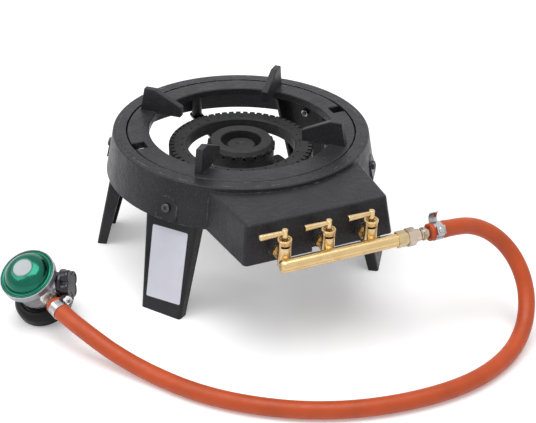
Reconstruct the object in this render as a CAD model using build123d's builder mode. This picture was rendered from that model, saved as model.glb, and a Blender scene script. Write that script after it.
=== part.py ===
"""Gas wok burner in millimetres.

Three ported burners sit in a cone-sided drum with a boxed apron in front, on four channel legs.
A loose pan support lies on the drum's ledge. Three lever valves on a brass manifold feed the burners,
and a hose runs from the manifold over the floor to a tap regulator.

The origin is on the floor under the drum's axis. +Z is up, the apron faces -Y, +X is the gas inlet side.
"""

import os
from math import atan, cos, pi, radians, sin, sqrt, tan

from build123d import *

os.makedirs("parts", exist_ok=True)

# Drum: a cone-sided wall with a rim and a ledge inside its top
wall = 5.0
drum_foot_z = 105.0
drum_top_z = 149.0
drum_foot_radius = 147.0
drum_top_radius = 138.4
drum_edge_rounding = 1.5
rim_width = 14.0
ledge_z = 141.0
ledge_width = 9.4

# Apron: the box in front of the drum, narrowing to the front and upward
apron_back_y = -113.0
apron_foot_y = -194.6
apron_top_y = -187.6
apron_foot_half_width = 89.0
apron_top_half_width = 83.0
apron_side_slope = 0.1017
apron_top_z = 144.8
apron_corner_rounding = 5.0
apron_edge_rounding = 2.5
plate_notch_x = -4.5
plate_notch_width = 9.0
plate_notch_height = 4.5

# The way for the mixing tubes from the apron into the drum
tube_way_half_width = 72.0
tube_way_front_y = -150.0
tube_way_back_y = -110.0
tube_way_gap = 0.5

# Legs
leg_angles = {"front_left": -54.4, "front_right": 54.4, "back_left": -121.0, "back_right": 121.0}
leg_top_gap = 5.0
leg_foot_fit = 0.6
leg_top_fit = 0.95
leg_sheet = 3.5
leg_foot_half_width = 24.3
leg_top_half_width = 32.4
leg_foot_depth = 11.0
leg_top_depth = 18.2
leg_bend_radius = 3.0
leg_screw_z = 117.0
leg_boss_radius = 12.0
leg_boss_length = 10.2

# Metric screws: hole, head and nut sizes for the one thread used
m5_shank_radius = 2.5
m5_hole_radius = 2.75
m5_head_radius = 4.75
m5_head_height = 3.0
m5_head_rounding = 1.2
m5_nut_flats = 8.0
m5_nut_height = 4.0

# Pan support
support_clearance = 1.4
support_ring_width = 23.3
support_ring_height = 8.0
support_edge_rounding = 1.5
support_top_z = 175.5
rib_thickness = 7.5
rib_angles = (45.0, 135.0, 225.0, 315.0)
rib_foot_inset = 4.2
rib_back_lean = 5.3
rib_top_width = 12.5
rib_nose_radius = 70.0
rib_nose_height = 11.0
rib_edge_rounding = 1.2
notch_width = 14.0
notch_depth = 14.0

# Outer burner
outer_inner_radius = 59.0
outer_outer_radius = 79.0
outer_foot_z = 116.0
outer_joint_z = 125.0
outer_top_z = 130.0
outer_wall = 4.0
outer_slot_count = 60
outer_slot_width = 2.8
outer_slot_reach = 5.5
outer_hole_count = 30
outer_hole_radius = 1.1
outer_cap_edge = 1.5

# Middle burner
middle_inner_radius = 22.0
middle_outer_radius = 36.0
middle_foot_z = 112.0
middle_joint_z = 124.0
middle_top_z = 134.0
middle_wall = 3.0
middle_cap_slope = 3.0
middle_port_count = 20
middle_port_drop = 6.5
middle_port_radius = 1.5
middle_port_rim_radius = 2.8
middle_port_rim_standout = 1.1
middle_riser_y = -5.0

# Inner burner
inner_radius = 16.0
inner_foot_z = 110.0
inner_joint_z = 120.0
inner_top_z = 128.0
inner_wall = 3.0
inner_cap_edge = 1.5
inner_dish_radius = 6.0
inner_slot_count = 16
inner_slot_width = 2.4
inner_slot_height = 3.2

burner_floor = 3.0
cap_lid = 2.0

# Mixing tubes, one behind each valve, and the straps that carry the burners
tube_radius = 8.0
tube_bore_radius = 6.0
tube_fall = 0.1212
mouth_gap = 7.0
bellmouth_radius = 10.5
bellmouth_length = 8.0
bellmouth_lip = 1.5
air_window_length = 14.0
air_window_width = 6.0
air_window_setback = 20.0
riser_radius = 7.0
riser_bore_radius = 5.0
strap_thickness = 2.5
strap_foot_z = 102.0
strap_width = 14.0
strap_end_margin = 8.0
strap_corner = 4.0
carrier_setback = 28.0
post_radius = 6.0
post_inset = 21.0
rear_post_inset = 3.5
screw_hole_depth = 14.0

# Valves
valve_x = {"outer": -47.0, "inner": -1.0, "middle": 45.0}
outlet_z = 117.7
outlet_boss_standout = 1.6
outlet_boss_length = 11.2
outlet_boss_radius = 8.5
outlet_hole_clearance = 0.2
valve_standout = 14.3
valve_radius = 6.45
valve_rim_radius = 7.2
valve_rim_chamfer = 0.5
valve_rim_height = 1.6
valve_flare_height = 5.0
valve_foot_z = 109.5
valve_top_z = 138.0
valve_mouth_radius = 5.5
valve_mouth_depth = 2.2
cup_radius = 4.6
cup_depth = 9.2
stop_slot_height = 2.5
stop_slot_half_angle = 58.0
stop_pin_radius = 0.8
stop_pin_reach = 6.0
outlet_neck_radius = 5.0
outlet_spigot_radius = 4.0
passage_radius = 1.5
nut_length = 5.0
nut_flats = 13.0
injector_length = 5.0
injector_flats = 12.0
injector_tip_radius = 3.5
injector_hole_radius = 1.0
spindle_radius = 2.9
spindle_standout = 10.05
spindle_top_rounding = 0.8
collar_height = 4.5
gland_height = 1.9
lever_z = 144.5
lever_root_radius = 2.3
lever_tip_radius = 2.9
lever_length = 25.5
lever_tip_rounding = 0.6
lever_pin_radius = 1.5
running_clearance = 0.05
stack_gap = 0.3

# Manifold and gas inlet
manifold_offset = 10.0
manifold_z = 114.2
manifold_radius = 6.75
manifold_bore_radius = 4.9
manifold_end_wall = 3.0
manifold_end_rounding = 4.0
manifold_left_x = -55.7
manifold_right_x = 69.0
inlet_hex_length = 11.0
inlet_hex_flats = 14.5
nipple_hex_length = 9.0
nipple_hex_flats = 16.0
nipple_bore_radius = 3.0
nipple_shoulder_radius = 6.4
nipple_shoulder_length = 5.0
nipple_waist_radius = 5.2
nipple_taper_length = 2.0
nipple_waist_length = 2.2
nipple_collar_radius = 6.7
nipple_collar_length = 1.0
nipple_groove_radius = 5.9
nipple_groove_width = 0.4

# Hose
hose_radius = 8.5
hose_bore_radius = 5.1
hose_points = [
    (105.5, -220.5, 114.2),
    (134.0, -220.5, 114.2),
    (161.8, -215.0, 106.6),
    (185.8, -219.4, 93.4),
    (202.6, -230.7, 74.5),
    (209.2, -247.3, 53.0),
    (203.8, -267.2, 31.8),
    (185.2, -288.4, 15.0),
    (153.4, -309.5, 8.6),
    (106.0, -327.4, 8.6),
    (51.0, -331.2, 8.6),
    (-9.0, -323.2, 8.6),
    (-62.7, -304.5, 8.6),
    (-110.4, -274.7, 8.6),
    (-148.3, -239.4, 8.6),
    (-178.5, -196.0, 9.0),
    (-202.0, -163.5, 16.5),
    (-219.5, -138.5, 27.0),
    (-235.0, -108.1, 34.6),
    (-240.98, -89.23, 38.0),
]
barb_radius = 5.0
barb_length = 10.0

# Hose clamps
clamp_band_thickness = 0.8
clamp_band_width = 9.0
clamp_fit = 0.05
burner_clamp_setback = 8.5
tail_radius = 8.0
tail_angle = 85.0
tail_thickness = 1.0
screw_box_size = 9.0
screw_box_height = 3.2
screw_box_floor = 1.2
box_screw_radius = 3.0
box_screw_rounding = 0.8
box_screw_clearance = 0.2
ear_height = 8.0
ear_thickness = 0.9
ear_spacing = 3.0
ear_screw_reach = 13.0
ear_screw_radius = 1.65
ear_screw_standout = 3.5
ear_nut_flats = 5.5
ear_nut_height = 2.5
ear_washer_radius = 3.4
ear_washer_thickness = 0.8
ear_head_radius = 2.6
ear_head_height = 2.2
regulator_clamp_setback = 8.7

# Regulator, leaning on the edge of its collar
regulator_foot = (-239.04, -45.66)
regulator_tilt = 27.8
regulator_lean_heading = 216.6
collar_radius = 30.8
collar_bore_radius = 17.1
collar_top_radius = 24.6
collar_top_height = 15.2
collar_side_height = 8.0
collar_side_draft = 0.2
collar_shoulder_radius = 28.7
collar_shoulder_height = 12.6
collar_well_radius = 23.4
collar_floor_radius = 21.5
collar_floor_height = 13.0
collar_edge_rounding = 0.8
socket_radius = 17.0
socket_foot_height = 1.5
inlet_bore_radius = 13.5
inlet_depth = 12.0
seal_radius = 12.6
seal_bore_radius = 9.0
seal_recess_depth = 2.6
seal_height = 2.3
gas_way_radius = 8.0
body_foot_height = 19.0
body_foot_radius = 19.0
body_foot_chamfer = 1.2
body_waist_radius = 22.3
body_waist_height = 32.4
body_shoulder_radius = 26.4
body_shoulder_height = 44.0
body_rim_foot_height = 46.5
body_rim_radius = 28.6
body_rim_wall = 1.0
body_rim_height = 53.3
body_seat_height = 47.0
cover_edge_height = 52.2
cover_brim_height = 53.5
cover_brim_rounding = 1.5
cover_groove_radius = 24.0
cover_groove_height = 53.0
dome_foot_radius = 22.9
dome_foot_height = 54.6
dome_side_radius = 19.6
dome_side_height = 60.7
dome_shoulder_radius = 12.4
dome_shoulder_height = 65.1
cover_flat_radius = 11.2
cover_top_height = 65.4
cover_well_depth = 1.0
disc_radius = 9.8
disc_standout = 0.5
disc_chamfer = 0.8
outlet_height = 34.0
outlet_turn = -21.3
outlet_face = 26.5
outlet_stub_radius = 7.0
tap_height = 31.0
tap_turn = 22.3
tap_stub_radius = 9.0
hub_face = 26.2
hub_radius = 11.5
knob_face = 30.4
knob_gap = 0.2
knob_base_radius = 11.0
knob_base_height = 3.0
knob_depth = 13.6
knob_half_length = 16.0
knob_end_half_thickness = 4.4
knob_waist_half_thickness = 3.4
knob_rounding = 1.0
knob_groove_width = 1.0
knob_groove_depth = 0.6
knob_stem_radius = 3.0
stub_root = 12.0

# Values that follow from those above
ledge_foot_z = ledge_z - wall
rim_inner_radius = drum_top_radius - rim_width
ledge_inner_radius = rim_inner_radius - ledge_width
support_outer_radius = rim_inner_radius - support_clearance
support_inner_radius = support_outer_radius - support_ring_width
outer_mid_radius = (outer_inner_radius + outer_outer_radius) / 2
middle_mid_radius = (middle_inner_radius + middle_outer_radius) / 2
plate_face_y = apron_foot_y - outlet_boss_standout
plate_inner_y = plate_face_y + outlet_boss_length
tube_mouth_y = plate_inner_y + mouth_gap
carrier_y = tube_mouth_y + carrier_setback
post_x = apron_foot_half_width - post_inset
valve_y = plate_face_y - valve_standout
manifold_y = valve_y - manifold_offset
cup_floor_z = valve_top_z - cup_depth
strap_top_z = strap_foot_z + strap_thickness


def save(piece, name):
    """Label a finished piece and write it under its own name."""
    piece.label = name
    export_step(piece, f"parts/{name}.step")


def drum_radius(z):
    """Outer radius of the drum's sloping wall at height z."""
    share = (z - drum_foot_z) / (drum_top_z - drum_foot_z)
    return drum_foot_radius + share * (drum_top_radius - drum_foot_radius)


def radial_plane(angle):
    """Upright plane through the Z axis: x points outward at the angle from +X, y points up."""
    a = radians(angle)
    return Plane(origin=(0, 0, 0), x_dir=(cos(a), sin(a), 0), z_dir=(sin(a), -cos(a), 0))


def along_y(x, y, z):
    """Plane across the Y direction, facing +Y."""
    return Plane(origin=(x, y, z), x_dir=(1, 0, 0), z_dir=(0, 1, 0))


def along_x(x, y, z):
    """Plane across the X direction, facing +X."""
    return Plane(origin=(x, y, z), x_dir=(0, 1, 0), z_dir=(1, 0, 0))


def level(x, y, z):
    """Level plane, facing up."""
    return Plane(origin=(x, y, z))


def rod(plane, radius, length, mode=Mode.ADD):
    """Round bar or bore from a plane along its normal."""
    with BuildSketch(plane) as section:
        Circle(radius)
    extrude(section.sketch, amount=length, mode=mode)


def hex_bar(plane, flats, length):
    """Hexagonal bar from a plane along its normal."""
    with BuildSketch(plane) as section:
        RegularPolygon(radius=flats / 2, side_count=6, major_radius=False)
    extrude(section.sketch, amount=length)


def turned(plane, points, mode=Mode.ADD):
    """Solid of revolution about a plane's normal from (radius, height) corners, heights along the normal."""
    side = Plane(origin=plane.origin, x_dir=plane.x_dir, z_dir=plane.x_dir.cross(plane.z_dir))
    with BuildSketch(side) as profile:
        with BuildLine():
            Polyline(*points, close=True)
        make_face()
    revolve(profile.sketch, axis=Axis(plane.origin, plane.z_dir), mode=mode)


# Legs: channels of bent sheet, leaning inward to the drum and widening upward

leg_top_z = ledge_foot_z - leg_top_gap


def leg_half_width(z):
    """Half the width of a leg at height z."""
    return leg_foot_half_width + z / leg_top_z * (leg_top_half_width - leg_foot_half_width)


def leg_reach(z, fit):
    """Distance from the drum's axis to a leg's outer face, its corners a fit inside the drum's wall."""
    return sqrt((drum_radius(z) - wall - fit) ** 2 - leg_half_width(z) ** 2)


leg_hip_reach = leg_reach(drum_foot_z, leg_foot_fit)
leg_lean = (leg_hip_reach - leg_reach(leg_top_z, leg_top_fit)) / (leg_top_z - drum_foot_z)
leg_lean_angle = atan(leg_lean)


def leg_face(z):
    """Distance from the drum's axis to a leg's outer face at height z."""
    return leg_hip_reach + leg_lean * (drum_foot_z - z)


def leg_outward(angle):
    """Level direction from the drum's axis through the leg at an angle from -Y towards +X."""
    a = radians(angle)
    return Vector(sin(a), -cos(a), 0)


def leg_section(angle, z):
    """Sketch of the channel's section at height z, open towards the drum's axis."""
    half = leg_half_width(z)
    depth = leg_foot_depth + z / leg_top_z * (leg_top_depth - leg_foot_depth)
    face = leg_face(z)
    a = radians(angle)
    with BuildSketch(Plane(origin=(0, 0, z), x_dir=(-cos(a), -sin(a), 0), z_dir=(0, 0, 1))) as section:
        with BuildLine():
            Polyline(
                (-half, face),
                (half, face),
                (half, face - depth),
                (half - leg_sheet, face - depth),
                (half - leg_sheet, face - leg_sheet),
                (leg_sheet - half, face - leg_sheet),
                (leg_sheet - half, face - depth),
                (-half, face - depth),
                close=True,
            )
        make_face()
    return section.sketch


def leg_screw_plane(angle):
    """Plane on the leg's outer face at its screw, facing outward and a little up."""
    outward = leg_outward(angle)
    centre = outward * leg_face(leg_screw_z) + Vector(0, 0, leg_screw_z)
    a = radians(angle)
    return Plane(origin=centre, x_dir=(cos(a), sin(a), 0), z_dir=outward + Vector(0, 0, leg_lean))


def make_leg(angle):
    with BuildPart() as leg:
        loft(sections=[leg_section(angle, 0), leg_section(angle, leg_top_z)], ruled=True)
        outward = leg_outward(angle)
        corners = leg.edges().filter_by(lambda e: e.length > leg_top_z / 2)
        fillet(corners.sort_by(lambda e: e.center().dot(outward))[-2:], radius=leg_bend_radius)
        rod(leg_screw_plane(angle).offset(-2 * leg_sheet), m5_hole_radius, 3 * leg_sheet, Mode.SUBTRACT)
    return leg.part


for place, leg_angle in leg_angles.items():
    save(make_leg(leg_angle), f"leg_{place}")

# Leg screws: heads on the drum's bosses, nuts behind the leg plates

leg_plate_depth = leg_sheet * cos(leg_lean_angle)
leg_screw_tip = leg_plate_depth + m5_nut_height + 1.5
with BuildPart() as leg_screws:
    for leg_angle in leg_angles.values():
        seat = leg_screw_plane(leg_angle)
        head_seat = seat.offset(leg_boss_length)
        rod(seat.offset(-leg_screw_tip), m5_shank_radius, leg_boss_length + leg_screw_tip)
        turned(head_seat, [
            (0, 0),
            (m5_head_radius, 0),
            (m5_head_radius, m5_head_height - m5_head_rounding),
            (m5_head_radius - 0.35 * m5_head_rounding, m5_head_height - 0.35 * m5_head_rounding),
            (m5_head_radius - m5_head_rounding, m5_head_height),
            (0, m5_head_height),
        ])
save(leg_screws.part, "leg_screws")

with BuildPart() as leg_nuts:
    for leg_angle in leg_angles.values():
        seat = leg_screw_plane(leg_angle).offset(-leg_plate_depth - m5_nut_height)
        hex_bar(seat, m5_nut_flats, m5_nut_height)
        rod(seat, m5_shank_radius, m5_nut_height, Mode.SUBTRACT)
save(leg_nuts.part, "leg_nuts")

# Housing: the drum's wall and the apron in one casting


def apron_block(z, half_width, front_y):
    """Four-sided outline of the apron at height z, narrowing to the front."""
    front_half = half_width - apron_side_slope * (apron_back_y - front_y)
    with BuildSketch(Plane.XY.offset(z)) as outline:
        with BuildLine():
            Polyline(
                (-half_width, apron_back_y),
                (-front_half, front_y),
                (front_half, front_y),
                (half_width, apron_back_y),
                close=True,
            )
        make_face()
    return outline.sketch


hollow_top_z = apron_top_z - wall
hollow_share = (hollow_top_z - drum_foot_z) / (apron_top_z - drum_foot_z)
hollow_half = apron_foot_half_width - wall
hollow_top_half = hollow_half - hollow_share * (apron_foot_half_width - apron_top_half_width)
hollow_top_y = apron_foot_y + wall + hollow_share * (apron_top_y - apron_foot_y)
post_places = [(-post_x, carrier_y), (post_x, carrier_y)]
rear_post_y = drum_radius(ledge_foot_z) - wall - rear_post_inset

with BuildPart() as housing:
    foot = apron_block(drum_foot_z, apron_foot_half_width, apron_foot_y)
    top = apron_block(apron_top_z, apron_top_half_width, apron_top_y)
    loft(sections=[foot, top], ruled=True)
    upright = housing.edges().filter_by(lambda e: abs(e.center().Z - (drum_foot_z + apron_top_z) / 2) < 1)
    fillet(upright.sort_by(Axis.Y)[:2], radius=apron_corner_rounding)
    top_edges = housing.faces().sort_by(Axis.Z)[-1].edges().sort_by(Axis.Y)[:-1]
    fillet(top_edges, radius=apron_edge_rounding)
    hollow_foot = apron_block(drum_foot_z, hollow_half, apron_foot_y + wall)
    hollow_top = apron_block(hollow_top_z, hollow_top_half, hollow_top_y)
    loft(sections=[hollow_foot, hollow_top], ruled=True, mode=Mode.SUBTRACT)

    with BuildSketch(Plane.XZ) as drum_block:
        with BuildLine():
            Polyline(
                (0, drum_foot_z),
                (drum_foot_radius, drum_foot_z),
                (drum_top_radius, drum_top_z),
                (0, drum_top_z),
                close=True,
            )
        make_face()
    revolve(drum_block.sketch, axis=Axis.Z)
    rim_edge = housing.edges().filter_by(GeomType.CIRCLE).sort_by(Axis.Z)[-1]
    fillet(rim_edge, radius=drum_edge_rounding)
    turned(Plane.XY, [
        (0, drum_foot_z - 1),
        (drum_radius(drum_foot_z - 1) - wall, drum_foot_z - 1),
        (drum_radius(drum_top_z + 1) - wall, drum_top_z + 1),
        (0, drum_top_z + 1),
    ], Mode.SUBTRACT)

    with BuildSketch(Plane.XY.offset(drum_foot_z - 1)) as tube_way:
        with Locations((0, (tube_way_front_y + tube_way_back_y) / 2)):
            Rectangle(2 * tube_way_half_width, tube_way_back_y - tube_way_front_y)
    extrude(tube_way.sketch, amount=ledge_foot_z - tube_way_gap - drum_foot_z + 1, mode=Mode.SUBTRACT)

    # Arched bosses on the drum's outside, one for each leg screw
    for leg_angle in leg_angles.values():
        arch_foot = (drum_foot_z - leg_screw_z) / cos(leg_lean_angle)
        with BuildSketch(leg_screw_plane(leg_angle)) as arch:
            with BuildLine():
                Line((-leg_boss_radius, 0), (-leg_boss_radius, arch_foot))
                Line((-leg_boss_radius, arch_foot), (leg_boss_radius, arch_foot))
                Line((leg_boss_radius, arch_foot), (leg_boss_radius, 0))
                RadiusArc((leg_boss_radius, 0), (-leg_boss_radius, 0), -leg_boss_radius)
            make_face()
        extrude(arch.sketch, amount=leg_boss_length)

    # Bosses on the front plate, where the valves' outlets pass
    for x in valve_x.values():
        rod(along_y(x, plate_face_y, outlet_z), outlet_boss_radius, outlet_boss_length)

    # Posts for the straps that carry the burners
    for x, y in post_places:
        rod(level(x, y, strap_top_z), post_radius, hollow_top_z + 1 - strap_top_z)
    rod(level(0, rear_post_y, strap_top_z), post_radius, ledge_foot_z - strap_top_z)

    # Holes for screws and outlets, and the notch in the front plate's lower edge
    for leg_angle in leg_angles.values():
        rod(leg_screw_plane(leg_angle).offset(-1), m5_hole_radius, 2 * leg_boss_length, Mode.SUBTRACT)
    for x in valve_x.values():
        rod(along_y(x, plate_face_y - 1, outlet_z), outlet_spigot_radius + outlet_hole_clearance,
            outlet_boss_length + 2, Mode.SUBTRACT)
    for x, y in (*post_places, (0, rear_post_y)):
        rod(level(x, y, strap_foot_z), m5_shank_radius, screw_hole_depth, Mode.SUBTRACT)
    with BuildSketch(Plane.XY.offset(drum_foot_z - 1)) as notch:
        with Locations((plate_notch_x, apron_foot_y)):
            Rectangle(plate_notch_width, 3 * wall)
    extrude(notch.sketch, amount=plate_notch_height + 1, mode=Mode.SUBTRACT)
save(housing.part, "housing")

# Rim and ledge inside the drum's top

with BuildPart() as drum_rim:
    turned(Plane.XY, [
        (rim_inner_radius, ledge_z),
        (drum_radius(ledge_z) - wall, ledge_z),
        (drum_top_radius - wall, drum_top_z),
        (rim_inner_radius, drum_top_z),
    ])
save(drum_rim.part, "drum_rim")

with BuildPart() as support_ledge:
    turned(Plane.XY, [
        (ledge_inner_radius, ledge_foot_z),
        (drum_radius(ledge_foot_z) - wall, ledge_foot_z),
        (drum_radius(ledge_z) - wall, ledge_z),
        (ledge_inner_radius, ledge_z),
    ])
save(support_ledge.part, "support_ledge")

# Pan support: a loose ring with four upright ribs that carry a round-bottomed pan

ring_top_z = ledge_z + support_ring_height
rib_back_radius = support_outer_radius - rib_foot_inset
with BuildPart() as pan_support:
    with BuildSketch(Plane.XY.offset(ledge_z)) as ring:
        Circle(support_outer_radius)
        Circle(support_inner_radius, mode=Mode.SUBTRACT)
        with Locations((support_outer_radius, 0), (-support_outer_radius, 0)):
            Rectangle(2 * notch_depth, notch_width, mode=Mode.SUBTRACT)
    extrude(ring.sketch, amount=support_ring_height)
    fillet(pan_support.edges().group_by(Axis.Z)[-1], radius=support_edge_rounding)
    for rib_angle in rib_angles:
        with BuildSketch(radial_plane(rib_angle)) as rib:
            with BuildLine():
                Polyline(
                    (rib_nose_radius + 1, ring_top_z - 1),
                    (rib_back_radius, ring_top_z - 1),
                    (rib_back_radius - rib_back_lean, support_top_z),
                    (rib_back_radius - rib_back_lean - rib_top_width, support_top_z),
                    (rib_nose_radius, ring_top_z + rib_nose_height),
                    close=True,
                )
            make_face()
        extrude(rib.sketch, amount=rib_thickness / 2, both=True)
    rib_tops = pan_support.faces().filter_by(lambda f: f.normal_at().Z > 0.5)
    rib_tops = rib_tops.filter_by(lambda f: f.center().Z > ring_top_z + rib_nose_height / 2)
    rib_edges = [e for f in rib_tops for e in f.edges() if e.length > rib_thickness + 1]
    fillet(rib_edges, radius=rib_edge_rounding)
save(pan_support.part, "pan_support")

# Burners: cast bodies with a gas channel and a mixing tube, each closed by a ported cap


def channel(inner, outer, foot_z, joint_z, side):
    """Open-topped ring channel with a floor, between two radii and two heights."""
    turned(Plane.XY, [(inner, foot_z), (outer, foot_z), (outer, joint_z), (inner, joint_z)])
    trough = [(inner + side, foot_z + burner_floor), (outer - side, foot_z + burner_floor)]
    turned(Plane.XY, [*trough, (outer - side, joint_z + 1), (inner + side, joint_z + 1)], Mode.SUBTRACT)


def tube_z(y):
    """Height of the mixing tubes' axis at y."""
    return outlet_z - tube_fall * (y - tube_mouth_y)


def tube_plane(x, y):
    """Plane across a mixing tube's sloping axis, facing the burner."""
    return Plane(origin=(x, y, tube_z(y)), x_dir=(1, 0, 0), z_dir=(0, 1, -tube_fall))


def tube_length(end_y):
    """Length along the sloping axis from the mouth to end_y."""
    return (end_y - tube_mouth_y) / cos(atan(tube_fall))


def tube_outside(x, end_y):
    """Tube, bellmouth and carrier boss, still solid."""
    rod(tube_plane(x, tube_mouth_y), tube_radius, tube_length(end_y))
    rod(tube_plane(x, tube_mouth_y), bellmouth_radius, bellmouth_length)
    rod(level(x, carrier_y, strap_top_z), post_radius, tube_z(carrier_y) - strap_top_z)


def tube_inside(x, end_y):
    """Bore, flared mouth, side air windows and screw hole."""
    rod(tube_plane(x, tube_mouth_y), tube_bore_radius, tube_length(end_y - tube_radius + tube_bore_radius),
        Mode.SUBTRACT)
    flare_depth = bellmouth_length - bellmouth_lip
    flare_radius = bellmouth_radius - bellmouth_lip
    turned(tube_plane(x, tube_mouth_y), [
        (0, -1),
        (flare_radius, -1),
        (flare_radius, 0),
        (tube_bore_radius, flare_depth),
        (0, flare_depth),
    ], Mode.SUBTRACT)
    window_y = tube_mouth_y + air_window_setback
    across = Plane(origin=(x - 2 * tube_radius, window_y, tube_z(window_y)), x_dir=(0, 1, -tube_fall),
                   z_dir=(1, 0, 0))
    with BuildSketch(across) as window:
        SlotOverall(air_window_length, air_window_width)
    extrude(window.sketch, amount=4 * tube_radius, mode=Mode.SUBTRACT)
    thread_depth = tube_z(carrier_y) - tube_radius - strap_top_z + 1
    rod(level(x, carrier_y, strap_top_z), m5_shank_radius, thread_depth, Mode.SUBTRACT)


def foot_boss(radius, foot_z):
    """Screw boss under a ring burner at the back, with its hole reaching the burner's floor."""
    rod(level(0, radius, strap_top_z), post_radius, foot_z + burner_floor / 2 - strap_top_z)
    rod(level(0, radius, strap_foot_z), m5_shank_radius, foot_z - strap_foot_z, Mode.SUBTRACT)


outer_x = valve_x["outer"]
outer_riser_y = -sqrt(outer_mid_radius**2 - outer_x**2)
outer_tube_end_y = outer_riser_y + riser_radius + 2
with BuildPart() as outer_burner_body:
    channel(outer_inner_radius, outer_outer_radius, outer_foot_z, outer_joint_z, outer_wall)
    riser_foot = level(outer_x, outer_riser_y, tube_z(outer_riser_y))
    tube_outside(outer_x, outer_tube_end_y)
    rod(riser_foot, riser_radius, outer_foot_z + 0.5 - riser_foot.origin.Z)
    foot_boss(outer_mid_radius, outer_foot_z)
    tube_inside(outer_x, outer_tube_end_y)
    rod(riser_foot, riser_bore_radius, outer_foot_z + burner_floor + 1 - riser_foot.origin.Z, Mode.SUBTRACT)
save(outer_burner_body.part, "outer_burner_body")

with BuildPart() as outer_burner_cap:
    turned(Plane.XY, [
        (outer_inner_radius, outer_joint_z),
        (outer_outer_radius, outer_joint_z),
        (outer_outer_radius, outer_top_z - outer_cap_edge),
        (outer_outer_radius - outer_cap_edge, outer_top_z),
        (outer_inner_radius + outer_cap_edge, outer_top_z),
        (outer_inner_radius, outer_top_z - outer_cap_edge),
    ])
    with BuildSketch(Plane.XY.offset(outer_joint_z)) as ports:
        with PolarLocations(outer_outer_radius, outer_slot_count):
            Rectangle(2 * outer_slot_reach, outer_slot_width)
        with PolarLocations(outer_inner_radius + outer_slot_reach, outer_hole_count, start_angle=6):
            Circle(outer_hole_radius)
    extrude(ports.sketch, amount=outer_top_z - outer_joint_z + 1, mode=Mode.SUBTRACT)
save(outer_burner_cap.part, "outer_burner_cap")

middle_x = valve_x["middle"]
middle_riser_x = sqrt(middle_mid_radius**2 - middle_riser_y**2)
middle_tube_end_y = middle_riser_y + tube_radius
with BuildPart() as middle_burner_body:
    channel(middle_inner_radius, middle_outer_radius, middle_foot_z, middle_joint_z, middle_wall)
    riser_foot = level(middle_riser_x, middle_riser_y, tube_z(middle_riser_y))
    link_plane = along_x(middle_riser_x, middle_riser_y, tube_z(middle_riser_y))
    tube_outside(middle_x, middle_tube_end_y)
    rod(riser_foot, riser_radius, middle_foot_z + 0.5 - riser_foot.origin.Z)
    rod(link_plane.offset(-riser_radius), riser_radius + 0.4, middle_x - middle_riser_x + riser_radius)
    foot_boss(middle_mid_radius, middle_foot_z)
    tube_inside(middle_x, middle_tube_end_y)
    rod(link_plane, riser_bore_radius, middle_x - middle_riser_x, Mode.SUBTRACT)
    rod(riser_foot, middle_wall + 0.8, middle_foot_z + burner_floor + 1 - riser_foot.origin.Z, Mode.SUBTRACT)
save(middle_burner_body.part, "middle_burner_body")

middle_port_z = middle_top_z - middle_port_drop
with BuildPart() as middle_burner_cap:
    turned(Plane.XY, [
        (middle_inner_radius, middle_joint_z),
        (middle_outer_radius, middle_joint_z),
        (middle_outer_radius, middle_top_z - middle_cap_slope - 1),
        (middle_outer_radius - middle_cap_slope, middle_top_z),
        (middle_inner_radius + 1, middle_top_z),
        (middle_inner_radius, middle_top_z - 1),
    ])
    port_reach = middle_outer_radius + middle_port_rim_standout
    for port in range(middle_port_count):
        outward = radial_plane(port * 360 / middle_port_count).x_dir
        rim_foot = Vector(0, 0, middle_port_z) + outward * (middle_outer_radius - middle_wall + 0.5)
        rod(Plane(origin=rim_foot, z_dir=outward), middle_port_rim_radius, port_reach - middle_outer_radius
            + middle_wall - 0.5)
    turned(Plane.XY, [
        (middle_inner_radius + middle_wall, middle_joint_z - 1),
        (middle_outer_radius - middle_wall, middle_joint_z - 1),
        (middle_outer_radius - middle_wall, middle_top_z - middle_wall - 1.5),
        (middle_outer_radius - middle_wall - 1.5, middle_top_z - middle_wall),
        (middle_inner_radius + middle_wall, middle_top_z - middle_wall),
    ], Mode.SUBTRACT)
    for port in range(middle_port_count):
        outward = radial_plane(port * 360 / middle_port_count).x_dir
        mouth = Vector(0, 0, middle_port_z) + outward * (middle_outer_radius - 2 * middle_wall)
        rod(Plane(origin=mouth, z_dir=outward), middle_port_radius, 3 * middle_wall, Mode.SUBTRACT)
save(middle_burner_cap.part, "middle_burner_cap")

inner_x = valve_x["inner"]
with BuildPart() as inner_burner_body:
    riser_foot = level(inner_x, 0, tube_z(0))
    rod(level(0, 0, inner_foot_z), inner_radius, inner_joint_z - inner_foot_z)
    tube_outside(inner_x, tube_radius)
    rod(riser_foot, riser_radius, inner_foot_z + 0.5 - riser_foot.origin.Z)
    rod(level(0, 0, inner_foot_z + burner_floor), inner_radius - inner_wall, inner_joint_z - inner_foot_z,
        Mode.SUBTRACT)
    tube_inside(inner_x, tube_radius)
    rod(riser_foot, riser_bore_radius, inner_foot_z + burner_floor + 1 - riser_foot.origin.Z, Mode.SUBTRACT)
save(inner_burner_body.part, "inner_burner_body")

with BuildPart() as inner_burner_cap:
    turned(Plane.XY, [
        (0, inner_joint_z),
        (inner_radius, inner_joint_z),
        (inner_radius, inner_top_z - inner_cap_edge),
        (inner_radius - inner_cap_edge, inner_top_z),
        (inner_dish_radius, inner_top_z),
        (inner_dish_radius - 1.5, inner_top_z - 1.2),
        (0, inner_top_z - 1.2),
    ])
    rod(level(0, 0, inner_joint_z - 1), inner_radius - inner_wall - 0.5,
        inner_top_z - cap_lid - inner_joint_z - 1, Mode.SUBTRACT)
    with BuildSketch(Plane.XY.offset(inner_joint_z - 1)) as ports:
        with PolarLocations(inner_radius - inner_wall / 2, inner_slot_count):
            Rectangle(2 * inner_wall, inner_slot_width)
    extrude(ports.sketch, amount=inner_slot_height + 1, mode=Mode.SUBTRACT)
save(inner_burner_cap.part, "inner_burner_cap")

# Straps under the burners, with their screws

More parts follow.
